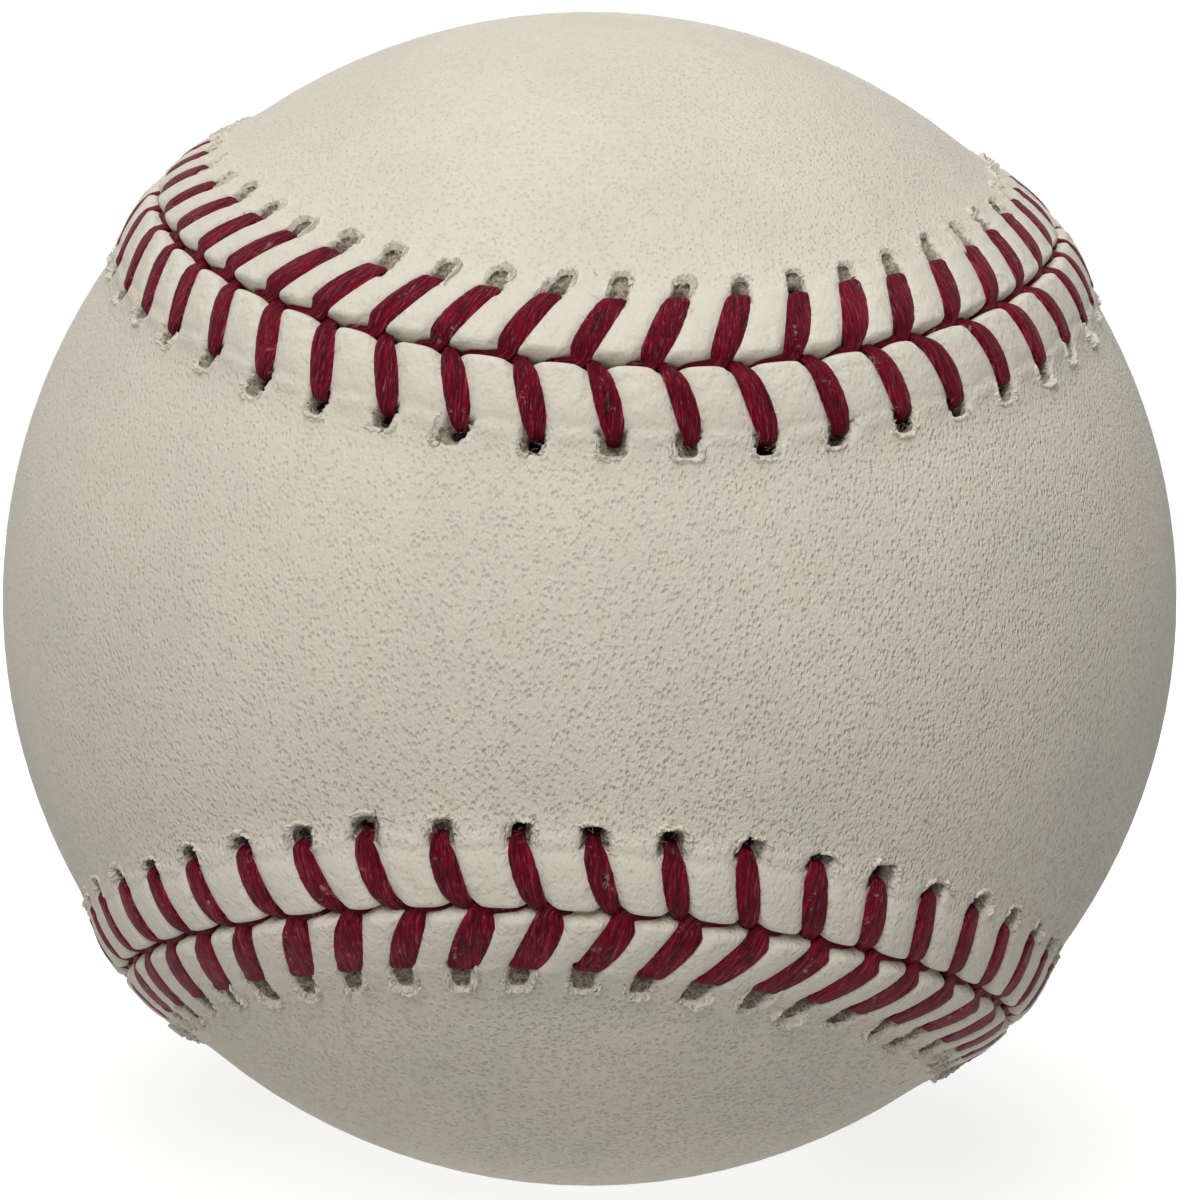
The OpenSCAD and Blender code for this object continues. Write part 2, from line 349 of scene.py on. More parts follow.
def slit(side, k, s, ragged=0.0):
    """Distance in mm outside the torn slit (negative inside), and how near its deep hole is, painted
    near-black as shade.
    """
    i, _ = nearest_leg(side, k, s)
    leg = legs[side]
    past = s - leg["tip"][i]
    hole = k - hole_k[i]
    hole = (hole - STITCHES * np.round(hole / STITCHES)) * PITCH - leg["skew"][i] * past
    share = np.clip(past / (leg["end"][i] - leg["tip"][i]), 0, 1)
    half = leg["slit"][i] * (1 - 0.30 * share ** 3)
    side_gap = np.abs(hole - leg["tear"][i] * (0.4 + 0.6 * share)) - half
    outside = np.maximum(side_gap, np.maximum(s - leg["end"][i], leg["tip"][i] - 0.5 - s)) + ragged
    near = np.hypot(hole / HOLE_HALF_W, (past - HOLE_PLACE) / HOLE_HALF_L)
    return outside, leg["hole"][i] * (1 - smooth(0.55, 1.15, near))


# Places of the points along one stitch, closest at the slit's sides, and their distances from the
# groove, closest at the edge and at the slits.
STITCH_SAMPLES = np.array([-0.50, -0.43, -0.36, -0.29, -0.235, -0.195, -0.16, -0.125, -0.065, 0.0,
                           0.065, 0.125, 0.16, 0.195, 0.235, 0.29, 0.36, 0.43])
crest_levels = LIP_CREST[1] * (1 - np.cos(np.radians([0, 12, 24, 37, 50, 64, 78])))
levels = np.concatenate([crest_levels, np.arange(0.68, 3.0, 0.31), np.arange(3.12, 5.35, 0.14),
                         [5.6, 6.0, 6.55, 7.2]])
spacing = np.mod(np.roll(hole_k, -1) - hole_k, STITCHES)
room = np.where(STITCH_SAMPLES[None, :] < 0, np.roll(spacing, 1)[:, None], spacing[:, None])
ring_k = (hole_k[:, None] + STITCH_SAMPLES[None, :] * room).ravel()
RINGS = len(ring_k)
ROWS = RINGS // 2
FIELD_COLUMNS = 22
UNDER_COLUMNS = 8
UNDER_LEVELS = np.array([0.3, 7.2])
UNDER_H = np.array([-0.95, -HIDE_T])


def across_field(first, columns, edge_dirs, radius):
    """Rows of points over a panel's field, from its edge on one side to its edge on the other."""
    q = np.arange(1, ROWS)
    low, high = edge_dirs[(first - q) % RINGS], edge_dirs[(first + q) % RINGS]
    angle = np.arccos(np.clip((low * high).sum(-1), -1, 1))[:, None, None]
    share = (np.arange(1, columns) / columns)[None, :, None]
    points = np.sin((1 - share) * angle) * low[:, None] + np.sin(share * angle) * high[:, None]
    return (points / np.sin(angle) * radius).reshape(-1, 3)


def sheet_faces(start, level_count, first, columns):
    """Quads of one surface of a panel: the strips beside the seam, then the rows of the field."""
    j = np.arange(RINGS)
    faces = []
    for level in range(level_count - 1):
        a, b = start + level * RINGS, start + (level + 1) * RINGS
        faces.append(np.stack([a + j, a + (j + 1) % RINGS, b + (j + 1) % RINGS, b + j], -1))
    last = start + (level_count - 1) * RINGS
    grid = np.zeros((ROWS + 1, columns + 1), int)
    q = np.arange(ROWS + 1)
    grid[:, 0], grid[:, columns] = last + (first - q) % RINGS, last + (first + q) % RINGS
    inner = last + RINGS + np.arange((ROWS - 1) * (columns - 1))
    grid[1:ROWS, 1:columns] = inner.reshape(ROWS - 1, columns - 1)
    grid[0], grid[ROWS] = last + first % RINGS, last + (first + ROWS) % RINGS
    faces.append(np.stack([grid[:-1, :-1], grid[:-1, 1:], grid[1:, 1:], grid[1:, :-1]], -1).reshape(-1, 4))
    return np.concatenate(faces)


def add_mesh(name, points_mm, faces, material, uv=None, smooth_faces=True):
    """A mesh in metres. A corner that repeats is dropped, so a quad may close to a triangle."""
    tidy = []
    for face in faces.tolist():
        corners = list(dict.fromkeys(face))
        if len(corners) > 2:
            tidy.append(corners)
    mesh = bpy.data.meshes.new(name)
    mesh.from_pydata((points_mm * MM).tolist(), [], tidy)
    mesh.materials.append(material)
    if smooth_faces:
        mesh.polygons.foreach_set("use_smooth", np.ones(len(mesh.polygons), bool))
    if uv is not None:
        corner_of = np.zeros(len(mesh.loops), int)
        mesh.loops.foreach_get("vertex_index", corner_of)
        mesh.uv_layers.new(name="along_and_across").data.foreach_set("uv", uv[corner_of].ravel())
    mesh.update()
    made = bpy.data.objects.new(name, mesh)
    bpy.context.scene.collection.objects.link(made)
    return made


def panel(name, side, first, material):
    """One hide panel as a closed shell: its grain side, its flesh side and its cut edge."""
    j = np.arange(RINGS)
    scatter = np.random.default_rng(20 + side).normal(0, 1, (len(levels), RINGS))
    top, slit_edge, painted_hole_shade = [], [], []
    for n, s in enumerate(levels):
        distance = np.full(RINGS, s)
        height, shift = pressed(side, ring_k, distance)
        outside, deep = slit(side, ring_k, distance, SLIT_RAGGED * scatter[n])
        inside = 1 - smooth(-0.12, 0.05, outside)
        height = height - inside * (SLIT_DEPTH + HOLE_DEPTH * deep - SLIT_ROUGH * scatter[n - 1])
        top.append(place_on_ball(ring_k, side * (distance + GROOVE_GAP + shift), height))
        slit_edge.append(np.clip(0.6 - outside, 0, 1.2))
        painted_hole_shade.append(deep)
    edge_dirs = unit(top[-1])
    field = across_field(first, FIELD_COLUMNS, edge_dirs, BALL_R)
    under = [place_on_ball(ring_k, side * np.full(RINGS, s), np.full(RINGS, h))
             for s, h in zip(UNDER_LEVELS, UNDER_H)]
    under_field = across_field(first, UNDER_COLUMNS, edge_dirs, BALL_R - HIDE_T + 0.1)
    points = np.concatenate(top + [field] + under + [under_field])
    under_start = len(levels) * RINGS + len(field)
    upper = sheet_faces(0, len(levels), first, FIELD_COLUMNS)
    lower = sheet_faces(under_start, len(UNDER_LEVELS), first, UNDER_COLUMNS)[:, ::-1]
    edge = np.stack([under_start + j, under_start + (j + 1) % RINGS, (j + 1) % RINGS, j], -1)
    faces = np.concatenate([upper, lower, edge])
    if side < 0:
        faces = faces[:, ::-1]
    made = add_mesh(name, points, faces, material)
    near_groove = np.repeat(1 - levels / levels[-1], RINGS).reshape(len(levels), RINGS)
    # The points keep their nearness to a slit's edge, the painted shade of the holes and their nearness to
    # the groove.
    for kind, rings in (("slit", slit_edge), ("painted_hole_shade", painted_hole_shade), ("lip", near_groove)):
        values = np.zeros(len(points), np.float32)
        values[:len(levels) * RINGS] = np.concatenate(rings)
        made.data.attributes.new(kind, "FLOAT", "POINT").data.foreach_set("value", values)
    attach(made, "root")
    return made


# White alum-tanned cowhide: matt, warm off-white, with the fine pitted pebble of its grain. The
# pits are drawn a little larger than a real hide's pores, or they wouldn't show. The pits and the
# low places of the grain are also darkened a little in colour, which is painted shade.
HIDE = "#E2DCCC"
HIDE_WARM = "#E2D6C7"
HIDE_COOL = "#DBD7C8"
HIDE_PIT_SHADE = "#AFA691"
SLIT_FIBRE = "#7C6F60"
SLIT_FIBRE_PALE = "#B9AE9C"
# Near-black painted shade at the deep end of each hole, beside the thread's end.
HOLE_SHADE_PAINT = "#070505"
PIT_MM = 0.27
PIT_DEPTH_SHARE = 0.55
RELIEF_MM = 0.088
DRIFT_MM = 2.5
DRIFT_LENGTH_MM = 0.25
# Each kind of unevenness: the size of its features in mm, and its noise's detail and roughness
UNEVEN = {"mottle": (9.0, 3.0, 0.5), "blush": (1.8, 3.0, 0.5), "grain": (0.19, 2.0, 0.6),
          "speckle": (2.2, 5.0, 0.75), "fray": (0.22, 3.0, 0.7), "fibre": (0.16, 3.0, 0.6),
          "wrinkle": (0.8, 2.0, 0.5)}
# The grain grows coarser from the upper left of the ball to its lower right. The lips are
# stretched over the edge, which flattens their grain to a share and draws soft wrinkles in them.
COARSE_WAY = (0.30, 0.0, -0.95)
STRETCHED = 0.36
WRINKLED = 3.0


def lay_tints(tree, colour, tints):
    """Tints over a colour, each with the value it follows, where it starts and is full, and its most."""
    for tint, value, low, high, most in tints:
        share = add_node(tree, "ShaderNodeMapRange", {"Value": value, "From Min": low, "From Max": high,
                                                      "To Max": most})
        over = srgb(tint) if isinstance(tint, str) else tint
        colour = add_node(tree, "ShaderNodeMix", {0: share.outputs[0], 6: colour, 7: over},
                          data_type="RGBA").outputs[2]
    return colour


hide, tree, shader, place = new_material("cowhide_alum_tanned", 0.62, Specular_IOR_Level=0.25)
drift = add_node(tree, "ShaderNodeTexNoise", {"Vector": place, "Scale": per_metre(DRIFT_MM), "Detail": 1.0})
drift = add_node(tree, "ShaderNodeVectorMath", {0: drift.outputs["Color"], "Scale": DRIFT_LENGTH_MM * MM},
                 operation="SCALE")
moved = add_node(tree, "ShaderNodeVectorMath", {0: place, 1: drift.outputs[0]}, operation="ADD").outputs[0]
long_way = add_node(tree, "ShaderNodeMapping", {"Vector": moved, "Rotation": (0.3, 0.5, 0.2),
                                                "Scale": (1.0, 1.0, 0.7)}).outputs[0]
ways = {"grain": long_way, "wrinkle": moved}
uneven = {}
for kind, (size_mm, detail, rough) in UNEVEN.items():
    cloud = add_node(tree, "ShaderNodeTexNoise", {"Vector": ways.get(kind, place), "Roughness": rough,
                                                  "Scale": per_metre(size_mm), "Detail": detail})
    uneven[kind] = cloud.outputs["Fac"]
pits = add_node(tree, "ShaderNodeTexVoronoi", {"Vector": long_way, "Scale": per_metre(PIT_MM)})
pit = add_node(tree, "ShaderNodeMapRange", {"Value": pits.outputs["Distance"], "From Min": 0.44,
                                            "From Max": 0.14}).outputs[0]
lip_share = add_node(tree, "ShaderNodeAttribute", attribute_name="lip").outputs["Fac"]
stretched = add_node(tree, "ShaderNodeMapRange", {"Value": lip_share, "From Min": 0.34, "From Max": 0.56,
                                                  "To Min": 1.0, "To Max": STRETCHED}).outputs[0]
# The pits' share of painted shade, less on the stretched lips.
painted_pit_shade = add_node(tree, "ShaderNodeMath", {0: pit, 1: stretched}, operation="MULTIPLY").outputs[0]
edge = add_node(tree, "ShaderNodeAttribute", attribute_name="slit").outputs["Fac"]
frayed_edge = add_node(tree, "ShaderNodeMath", {0: uneven["fray"], 1: -0.30, 2: edge},
                       operation="MULTIPLY_ADD").outputs[0]
painted_hole_shade = add_node(tree, "ShaderNodeAttribute", attribute_name="painted_hole_shade").outputs["Fac"]
# The torn slit's fibres, painted near-black as shade where the hole is deep.
fibres = lay_tints(tree, srgb(SLIT_FIBRE), [
    (SLIT_FIBRE_PALE, uneven["fibre"], 0.36, 0.62, 1.0),
    (HOLE_SHADE_PAINT, painted_hole_shade, 0.25, 0.60, 1.0)])
body = lay_tints(tree, srgb(HIDE), [
    (HIDE_COOL, uneven["mottle"], 0.42, 0.66, 1.0),
    (HIDE_WARM, uneven["blush"], 0.52, 0.72, 0.8),
    # Painted shade: the grain's low places and its pits are darkened a little.
    (HIDE_PIT_SHADE, uneven["grain"], 0.50, 0.34, 0.08),
    (HIDE_PIT_SHADE, painted_pit_shade, 0.0, 1.0, 0.10),
    (SLIT_FIBRE, uneven["speckle"], 0.71, 0.75, 0.35),
    (fibres, frayed_edge, 0.43, 0.52, 1.0)])
tree.links.new(body, shader.inputs["Base Color"])
pulled = add_node(tree, "ShaderNodeMapRange", {"Value": lip_share, "From Min": 0.38, "From Max": 0.95,
                                               "To Max": WRINKLED})
wrinkled = add_node(tree, "ShaderNodeMath", {0: pulled.outputs[0], 1: uneven["wrinkle"]},
                    operation="MULTIPLY").outputs[0]
coarse = add_node(tree, "ShaderNodeVectorMath", {0: place, 1: COARSE_WAY}, operation="DOT_PRODUCT")
coarse = add_node(tree, "ShaderNodeMapRange", {"Value": coarse.outputs["Value"], "From Min": -0.015,
                                               "From Max": 0.036, "To Min": 0.86, "To Max": 2.6}).outputs[0]
coarse = add_node(tree, "ShaderNodeMath", {0: coarse, 1: stretched}, operation="MULTIPLY").outputs[0]
height = add_node(tree, "ShaderNodeMath", {0: pit, 1: -PIT_DEPTH_SHARE, 2: uneven["grain"]},
                  operation="MULTIPLY_ADD").outputs[0]
height = add_node(tree, "ShaderNodeMath", {0: height, 1: coarse, 2: wrinkled},
                  operation="MULTIPLY_ADD").outputs[0]
pebble = add_node(tree, "ShaderNodeBump", {"Height": height, "Strength": 1.0, "Distance": RELIEF_MM * MM})
tree.links.new(pebble.outputs["Normal"], shader.inputs["Normal"])

panel_a = panel("hide_panel_a", 1, RINGS // 4, hide)
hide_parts("cover_panel_a")
panel_b = panel("hide_panel_b", -1, 0, hide)
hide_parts("cover_panel_b")

# Seam thread. One waxed red cotton thread, flattened by the pull of the stitch, with a needle at
# each end: each strand comes up through a hole, crosses the lip, dives into the groove, and runs
# under the other panel to its next hole.

THREAD_T = 0.46
THREAD_UP = 0.17
THREAD_ARCH = 0.05
THREAD_SINKS = 0.12
BEND_FROM = 1.0
BEND_DEPTH = 0.62
UNDER_THREAD = -HIDE_T - 0.15
LEG_SAMPLES = 44
ROUND_SAMPLES = 20
LEG_TOPS = 11
# How far each leg runs along the groove before it dives, in stitches, how much that varies, and
# how many times its fibres turn round it from leg to leg
GROOVE_RUN = {1: 0.10, -1: 0.38}
RUN_VARIES = 0.35
TWIST = 1.2


def leg_route(side, i):
    """One leg's route as places along the seam, distances from the groove and heights."""
    leg = legs[side]
    tip = leg["tip"][i] - 0.05
    s = np.linspace(tip - 0.42, 0.25, LEG_TOPS)
    k = hole_k[i] + leg_offset(side, i, s) / PITCH
    top, shift = pressed(side, k, s)
    top = top + THREAD_UP + THREAD_ARCH * np.sin(math.pi * np.linspace(0, 1, LEG_TOPS))
    bend_start = np.interp(BEND_FROM, s[::-1], top[::-1])
    bend_h = bend_start - BEND_DEPTH * np.clip(1 - s / BEND_FROM, 0, 1) ** 2.2
    top = np.where(s < BEND_FROM, np.maximum(bend_h, top - THREAD_SINKS), top)
    rise_s = tip - np.array([-0.02, 0.0, 0.0, 0.0, 0.03, 0.17])
    rise_h = np.array([UNDER_THREAD, -0.9, top[0] - 0.75, top[0] - 0.45, top[0] - 0.22, top[0] - 0.05])
    rise_k = hole_k[i] + leg_offset(side, i, rise_s) / PITCH
    run = GROOVE_RUN[side] * (1 + RUN_VARIES * math.sin(2.1 * i))
    dive_s = np.array([0.05, -0.03, -0.05, -0.08, -0.18, -0.50, -1.9])
    dive_h = {1: np.array([0.02, -0.12, -0.25, -0.35, -0.55, -0.95, UNDER_THREAD]),
              -1: np.array([0.10, 0.14, 0.16, 0.02, -0.50, -0.95, UNDER_THREAD])}[side]
    dive_k = hole_k[i] + leg["lean"][i] + run * np.array([0.10, 0.34, 0.66, 1.0, 1.15, 1.25, 1.4])
    distance = np.concatenate([rise_s, s + shift * 0.5, dive_s])
    return np.concatenate([rise_k, k, dive_k]), side * distance, np.concatenate([rise_h, top, dive_h])


# The ribbon's rows along a leg, from under its hole to under the other panel: shares of its width,
# and how far its flat side turns to follow the groove. Its edges are a little uneven, and two
# waves across it are its plies.
LEG_ROWS = 24
EDGE_UNEVEN = 0.014
PLY_HEIGHTS = (0.11, 0.07)
WIDTH_ROWS = np.array([0, 3, 5, 7, 10, 13, 15, 16, 18, 20, 23])
WIDTH_SHARES = {1: np.array([0.6, 0.58, 0.68, 0.93, 1.0, 0.92, 0.76, 0.66, 0.5, 0.5, 0.6]),
                -1: np.array([0.6, 0.72, 0.82, 0.98, 1.03, 1.0, 0.92, 0.80, 0.42, 0.30, 0.6])}
TURN_ROWS = np.array([0, 15, 17, 18, 20, 21, 23])
TURN_SHARES = {1: np.zeros(7), -1: np.array([0.0, 0.0, 0.35, 0.8, 0.8, 0.3, 0.0])}


def strand(name, start, material):
    """One needle's half of the thread as a closed ribbon of plies."""
    centre, way, width, twist, along = [], [], [], [], []
    row = np.arange(LEG_ROWS)
    for i in range(STITCHES):
        side = 1 if (i + start) % 2 == 0 else -1
        k, s, h = leg_route(side, i)
        centre.append(place_on_ball(k, s, h))
        _, seam_way, across_way = seam_frame(k)
        turn = np.interp(row, TURN_ROWS, TURN_SHARES[side])[:, None]
        way.append((1 - turn) * seam_way + turn * side * across_way)
        width.append(legs[side]["width"][i] * np.interp(row, WIDTH_ROWS, WIDTH_SHARES[side]))
        twist.append(0.7 * math.sin(2.4 * i + start) + 0.9 * row / LEG_ROWS)
        along.append(i + row / LEG_ROWS)
    centre, way = np.concatenate(centre), np.concatenate(way)
    width, twist, along = np.concatenate(width), np.concatenate(twist), np.concatenate(along)
    count = len(centre)
    fine = np.linspace(0, count, STITCHES * LEG_SAMPLES, endpoint=False)
    base = np.floor(fine).astype(int)
    u = (fine - base)[:, None]

    def spline(values):
        """Values on a smooth curve through those of the rows."""
        p = [values[(base + n) % count] for n in (-1, 0, 1, 2)]
        return 0.5 * (2 * p[1] + (p[2] - p[0]) * u + (2 * p[0] - 5 * p[1] + 4 * p[2] - p[3]) * u ** 2
                      + (3 * p[1] - p[0] - 3 * p[2] + p[3]) * u ** 3)

    centre, way = spline(centre), spline(way)
    edge = np.random.default_rng(50 + start).normal(0, EDGE_UNEVEN, len(fine))
    width = spline(width[:, None])[:, 0] * (1 + edge)
    plain = np.interp(fine, np.arange(count), twist)
    run = np.interp(fine, np.arange(count), along)
    ahead = unit(np.roll(centre, -1, 0) - np.roll(centre, 1, 0))
    across = unit(way - ahead * (way * ahead).sum(-1, keepdims=True))
    up = np.cross(across, ahead)
    phi = np.linspace(0, 2 * math.pi, ROUND_SAMPLES, endpoint=False)
    flat_x = np.sign(np.cos(phi)) * np.abs(np.cos(phi)) ** 0.85
    flat_y = np.sign(np.sin(phi)) * np.abs(np.sin(phi)) ** 0.85
    fold = plain[:, None] + 0.5 * np.sin(1.7 * run[:, None] * math.pi)
    ply = (PLY_HEIGHTS[0] * np.cos(2.6 * math.pi * flat_x[None, :] + 3 * fold)
           + PLY_HEIGHTS[1] * np.cos(5.3 * math.pi * flat_x[None, :] - 4 * fold + 9 * run[:, None]))
    thick = THREAD_T * (1.15 - 0.25 * width / LEG_W)
    x = flat_x[None, :] * width[:, None] / 2
    y = flat_y[None, :] * (1 + ply) * thick[:, None] / 2
    points = centre[:, None] + across[:, None] * x[..., None] + up[:, None] * y[..., None]
    n = len(centre)
    j = np.arange(n)[:, None] * ROUND_SAMPLES
    ahead_j = (np.arange(n)[:, None] + 1) % n * ROUND_SAMPLES
    c = np.arange(ROUND_SAMPLES)[None, :]
    c2 = (c + 1) % ROUND_SAMPLES
    faces = np.stack([j + c, j + c2, ahead_j + c2, ahead_j + c], -1).reshape(-1, 4)
    round_it = (flat_x[None, :] + 1) / 2 + TWIST * run[:, None]
    uv = np.stack([np.repeat(run, ROUND_SAMPLES), round_it.ravel()], -1)
    made = add_mesh(name, points.reshape(-1, 3), faces, material, uv)
    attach(made, "root")
    return made


# Waxed cotton: deep crimson fibres laid side by side, with paler strays and flecks of dry wax.
# The deep colour where the laid fibres are low is painted shade in the gaps between them, and the
# paler strays and wax flecks are partly painted highlight that stands for the thread's glints.
# The fibres are drawn coarser than cotton's, or they wouldn't show.
THREAD_RED = "#93052A"
THREAD_DEEP = "#3E0414"
THREAD_PALE = "#B86C7A"
WAX_AND_GLINT = "#CDB0AE"
FIBRE_RELIEF_MM = 0.30
CLUMP_MM = 0.9
FLECK_MM = 1.1

thread, tree, shader, place = new_material("cotton_thread_waxed", 0.45, Specular_IOR_Level=0.10)
uv = add_node(tree, "ShaderNodeTexCoord").outputs["UV"]
# How often each kind of fibre repeats along a leg and across it, with its noise's settings
fibres = []
for often, detail, rough, curl in (((4.0, 7.0, 1.0), 4.0, 0.65, 0.8), ((11.0, 15.0, 1.0), 3.0, 0.6, 1.0)):
    way = add_node(tree, "ShaderNodeMapping", {"Vector": uv, "Scale": often}).outputs[0]
    streaks = add_node(tree, "ShaderNodeTexNoise", {"Vector": way, "Scale": 1.0, "Detail": detail,
                                                    "Roughness": rough, "Distortion": curl})
    fibres.append(streaks.outputs["Fac"])
laid, strays = fibres
clumps = add_node(tree, "ShaderNodeTexNoise", {"Vector": place, "Scale": per_metre(CLUMP_MM),
                                               "Detail": 3.0}).outputs["Fac"]
flecks = add_node(tree, "ShaderNodeTexNoise", {"Vector": place, "Scale": per_metre(FLECK_MM), "Detail": 6.0,
                                               "Roughness": 0.75}).outputs["Fac"]
# Painted shade in the gaps of the laid fibres, and pale strays and wax flecks that are partly painted
# highlight.
body = lay_tints(tree, srgb(THREAD_DEEP), [
    (THREAD_RED, laid, 0.36, 0.60, 1.0),
    (THREAD_DEEP, clumps, 0.42, 0.64, 0.30),
    (THREAD_PALE, laid, 0.60, 0.74, 0.5),
    (THREAD_PALE, strays, 0.55, 0.72, 0.6),
    (WAX_AND_GLINT, flecks, 0.62, 0.71, 0.8)])
tree.links.new(body, shader.inputs["Base Color"])
relief = add_node(tree, "ShaderNodeMath", {0: strays, 1: 0.6, 2: laid}, operation="MULTIPLY_ADD").outputs[0]
relief = add_node(tree, "ShaderNodeBump", {"Height": relief, "Strength": 1.0,
                                           "Distance": FIBRE_RELIEF_MM * MM})
tree.links.new(relief.outputs["Normal"], shader.inputs["Normal"])

for name, start in (("a", 0), ("b", 1)):
    made = strand("stitching_" + name, start, thread)
    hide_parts("thread_strand_" + name)

# Torn rims and stray fibres. The awl and the pull of the thread tear small flaps and hairs of
# hide loose round every hole, and rub short red fibres off the thread, which lie on the hide.

FLAPS_PER_SLIT = 5
FLAP_POINTS = 10
# A flap's least and most size, and for a size of 1 its height, its reach over the hide and its
# foot, in mm. Then its span round the slit in radians, how ragged it is, how much higher and wider
# it is on each panel, its most height in mm, and how much larger it is where the slits are worn.
FLAP_SIZES = (0.5, 1.8)
FLAP_HEIGHTS = (0.08, 0.20)
FLAP_REACHES = (0.04, 0.16)
FLAP_FEET = (0.08, 0.20)
FLAP_SPANS = (0.5, 1.5)
FLAP_JAGS = (0.4, 1.3)
FLAP_WOBBLE = 0.07
FLAP_LIFT = {1: 1.3, -1: 1.45}
FLAP_SPREAD = {1: 1.1, -1: 1.4}
FLAP_MOST = 0.43
FAR_LARGER = 0.7
# Lengths, heights over the hide and radii in mm of the torn fibres and the thread's fuzz
HAIR_POINTS = 6
FIBRES_PER_SLIT = 9
FIBRE_LENGTHS = (0.15, 0.45)
FIBRE_LIFTS = (-0.30, 0.02)
FIBRE_RADII = (0.007, 0.014)
FUZZ_PER_LEG = 8
FUZZ_LENGTHS = (0.15, 0.75)
FUZZ_LIFTS = (0.03, 0.20)
FUZZ_RADII = (0.005, 0.010)


def slit_outline(side, i, angle):
    """Points on a slit's outline, in mm along the seam and outwards from the leg's end."""
    leg = legs[side]
    length = leg["end"][i] - leg["tip"][i]
    u = leg["slit"][i] * np.sign(np.cos(angle)) * np.abs(np.cos(angle)) ** 0.6
    v = length * (0.1 + 0.9 * np.sign(np.sin(angle)) * np.abs(np.sin(angle)) ** 0.6)
    return u + leg["tear"][i] + leg["skew"][i] * v, v


def flaps(name, side, material):
    """Torn flaps of hide curled up round the slits, each a thin wedge with a ragged edge."""
    dice = np.random.default_rng(31 + side)
    points, faces = [], []
    for i in range(STITCHES):
        for start in dice.uniform(-0.1, 0.7, FLAPS_PER_SLIT) * math.pi:
            angle = start + np.linspace(0, dice.uniform(*FLAP_SPANS), FLAP_POINTS)
            u, v = slit_outline(side, i, angle)
            ahead = np.stack([np.gradient(u), np.gradient(v)], -1)
            out_u, out_v = (unit(ahead + 1e-6) @ np.array([[0, -1], [1, 0]])).T
            taper = np.sin(math.pi * np.linspace(0.05, 0.95, FLAP_POINTS)) ** 0.6
            size = dice.uniform(*FLAP_SIZES) * (1 + FAR_LARGER * FAR_WORN[side] * far_seam[i])
            lift = FLAP_LIFT[side] * size * dice.uniform(*FLAP_HEIGHTS) * taper
            lift = lift * dice.uniform(*FLAP_JAGS, FLAP_POINTS)
            lift = FLAP_MOST * np.tanh(lift / FLAP_MOST)
            reach = FLAP_SPREAD[side] * min(size, 2.0) * dice.uniform(*FLAP_REACHES)
            reach = reach + dice.uniform(-FLAP_WOBBLE, FLAP_WOBBLE, FLAP_POINTS)
            foot = reach + dice.uniform(*FLAP_FEET) * taper
            for offset, rise in ((-0.06 + 0 * reach, -0.12 + 0 * lift), (reach, lift),
                                 (reach + 0.05, lift - 0.02), (foot, -0.04 + 0 * lift)):
                k = hole_k[i] + (u + offset * out_u) / PITCH
                s = legs[side]["tip"][i] + v + offset * out_v
                height, _ = pressed(side, k, s)
                points.append(place_on_ball(k, side * (s + GROOVE_GAP), height + rise))
            base = (len(points) - 4) * FLAP_POINTS
            c = np.arange(4)[:, None]
            n = np.arange(FLAP_POINTS - 1)[None, :]
            here, there = base + c * FLAP_POINTS + n, base + (c + 1) % 4 * FLAP_POINTS + n
            faces.append(np.stack([here, here + 1, there + 1, there], -1).reshape(-1, 4))
            for end in (0, FLAP_POINTS - 1):
                faces.append(base + end + FLAP_POINTS * np.arange(4)[None, :])
    made = add_mesh(name, np.concatenate(points), np.concatenate(faces), material, smooth_faces=False)
    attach(made, "root")


def hairs(name, side, k, s, heading, length, lift, radius, material):
    """Curled hairs laid over the hide from their roots, as thin three-sided tubes."""
    dice = np.random.default_rng(len(k) + side)
    along = np.linspace(0, 1, HAIR_POINTS)
    angle = heading[:, None] + dice.normal(0, 1.1, len(k))[:, None] * along
    step = length[:, None] / (HAIR_POINTS - 1)
    du = np.cumsum(np.cos(angle) * step, -1)
    ds = np.cumsum(np.sin(angle) * step, -1)
    k, s = k[:, None] + du / PITCH, np.maximum(s[:, None] + ds, 0.15)
    height = pressed(side, k, s)[0] + lift[:, None] * np.sin(math.pi * 0.85 * along)
    centre = place_on_ball(k, side * (s + GROOVE_GAP), height)
    ahead = unit(np.gradient(centre, axis=1) + 1e-9)
    across = unit(np.cross(ahead, centre))
    up = np.cross(across, ahead)
    thick = (radius[:, None] * (1 - 0.6 * along))[..., None]
    sides = [centre + thick * (math.cos(a) * across + math.sin(a) * up) for a in (0.5, 2.6, 4.7)]
    points = np.stack(sides, 2).reshape(-1, 3)
    n = np.arange(len(k))[:, None] * HAIR_POINTS + np.arange(HAIR_POINTS - 1)[None, :]
    n = n.ravel()[:, None] * 3
    c = np.arange(3)[None, :]
    faces = np.stack([n + c, n + (c + 1) % 3, n + 3 + (c + 1) % 3, n + 3 + c], -1).reshape(-1, 4)
    made = add_mesh(name, points, faces, material)
    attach(made, "root")


def loose_fibre(name, roughness, specular, tuft_mm, colour, pale):
    """Fibres torn or rubbed loose: matt, and paler in places."""
    material, tree, shader, place = new_material(name, roughness, Specular_IOR_Level=specular)
    tufts = add_node(tree, "ShaderNodeTexNoise", {"Vector": place, "Scale": per_metre(tuft_mm),
                                                  "Detail": 2.0})
    body = lay_tints(tree, srgb(colour), [(pale, tufts.outputs["Fac"], 0.38, 0.62, 1.0)])
    tree.links.new(body, shader.inputs["Base Color"])
    return material


torn_hair = loose_fibre("cowhide_fibre_torn", 0.8, 0.15, 0.25, SLIT_FIBRE, SLIT_FIBRE_PALE)
red_hair = loose_fibre("cotton_fibre_loose", 0.7, 0.2, 0.6, THREAD_RED, WAX_AND_GLINT)

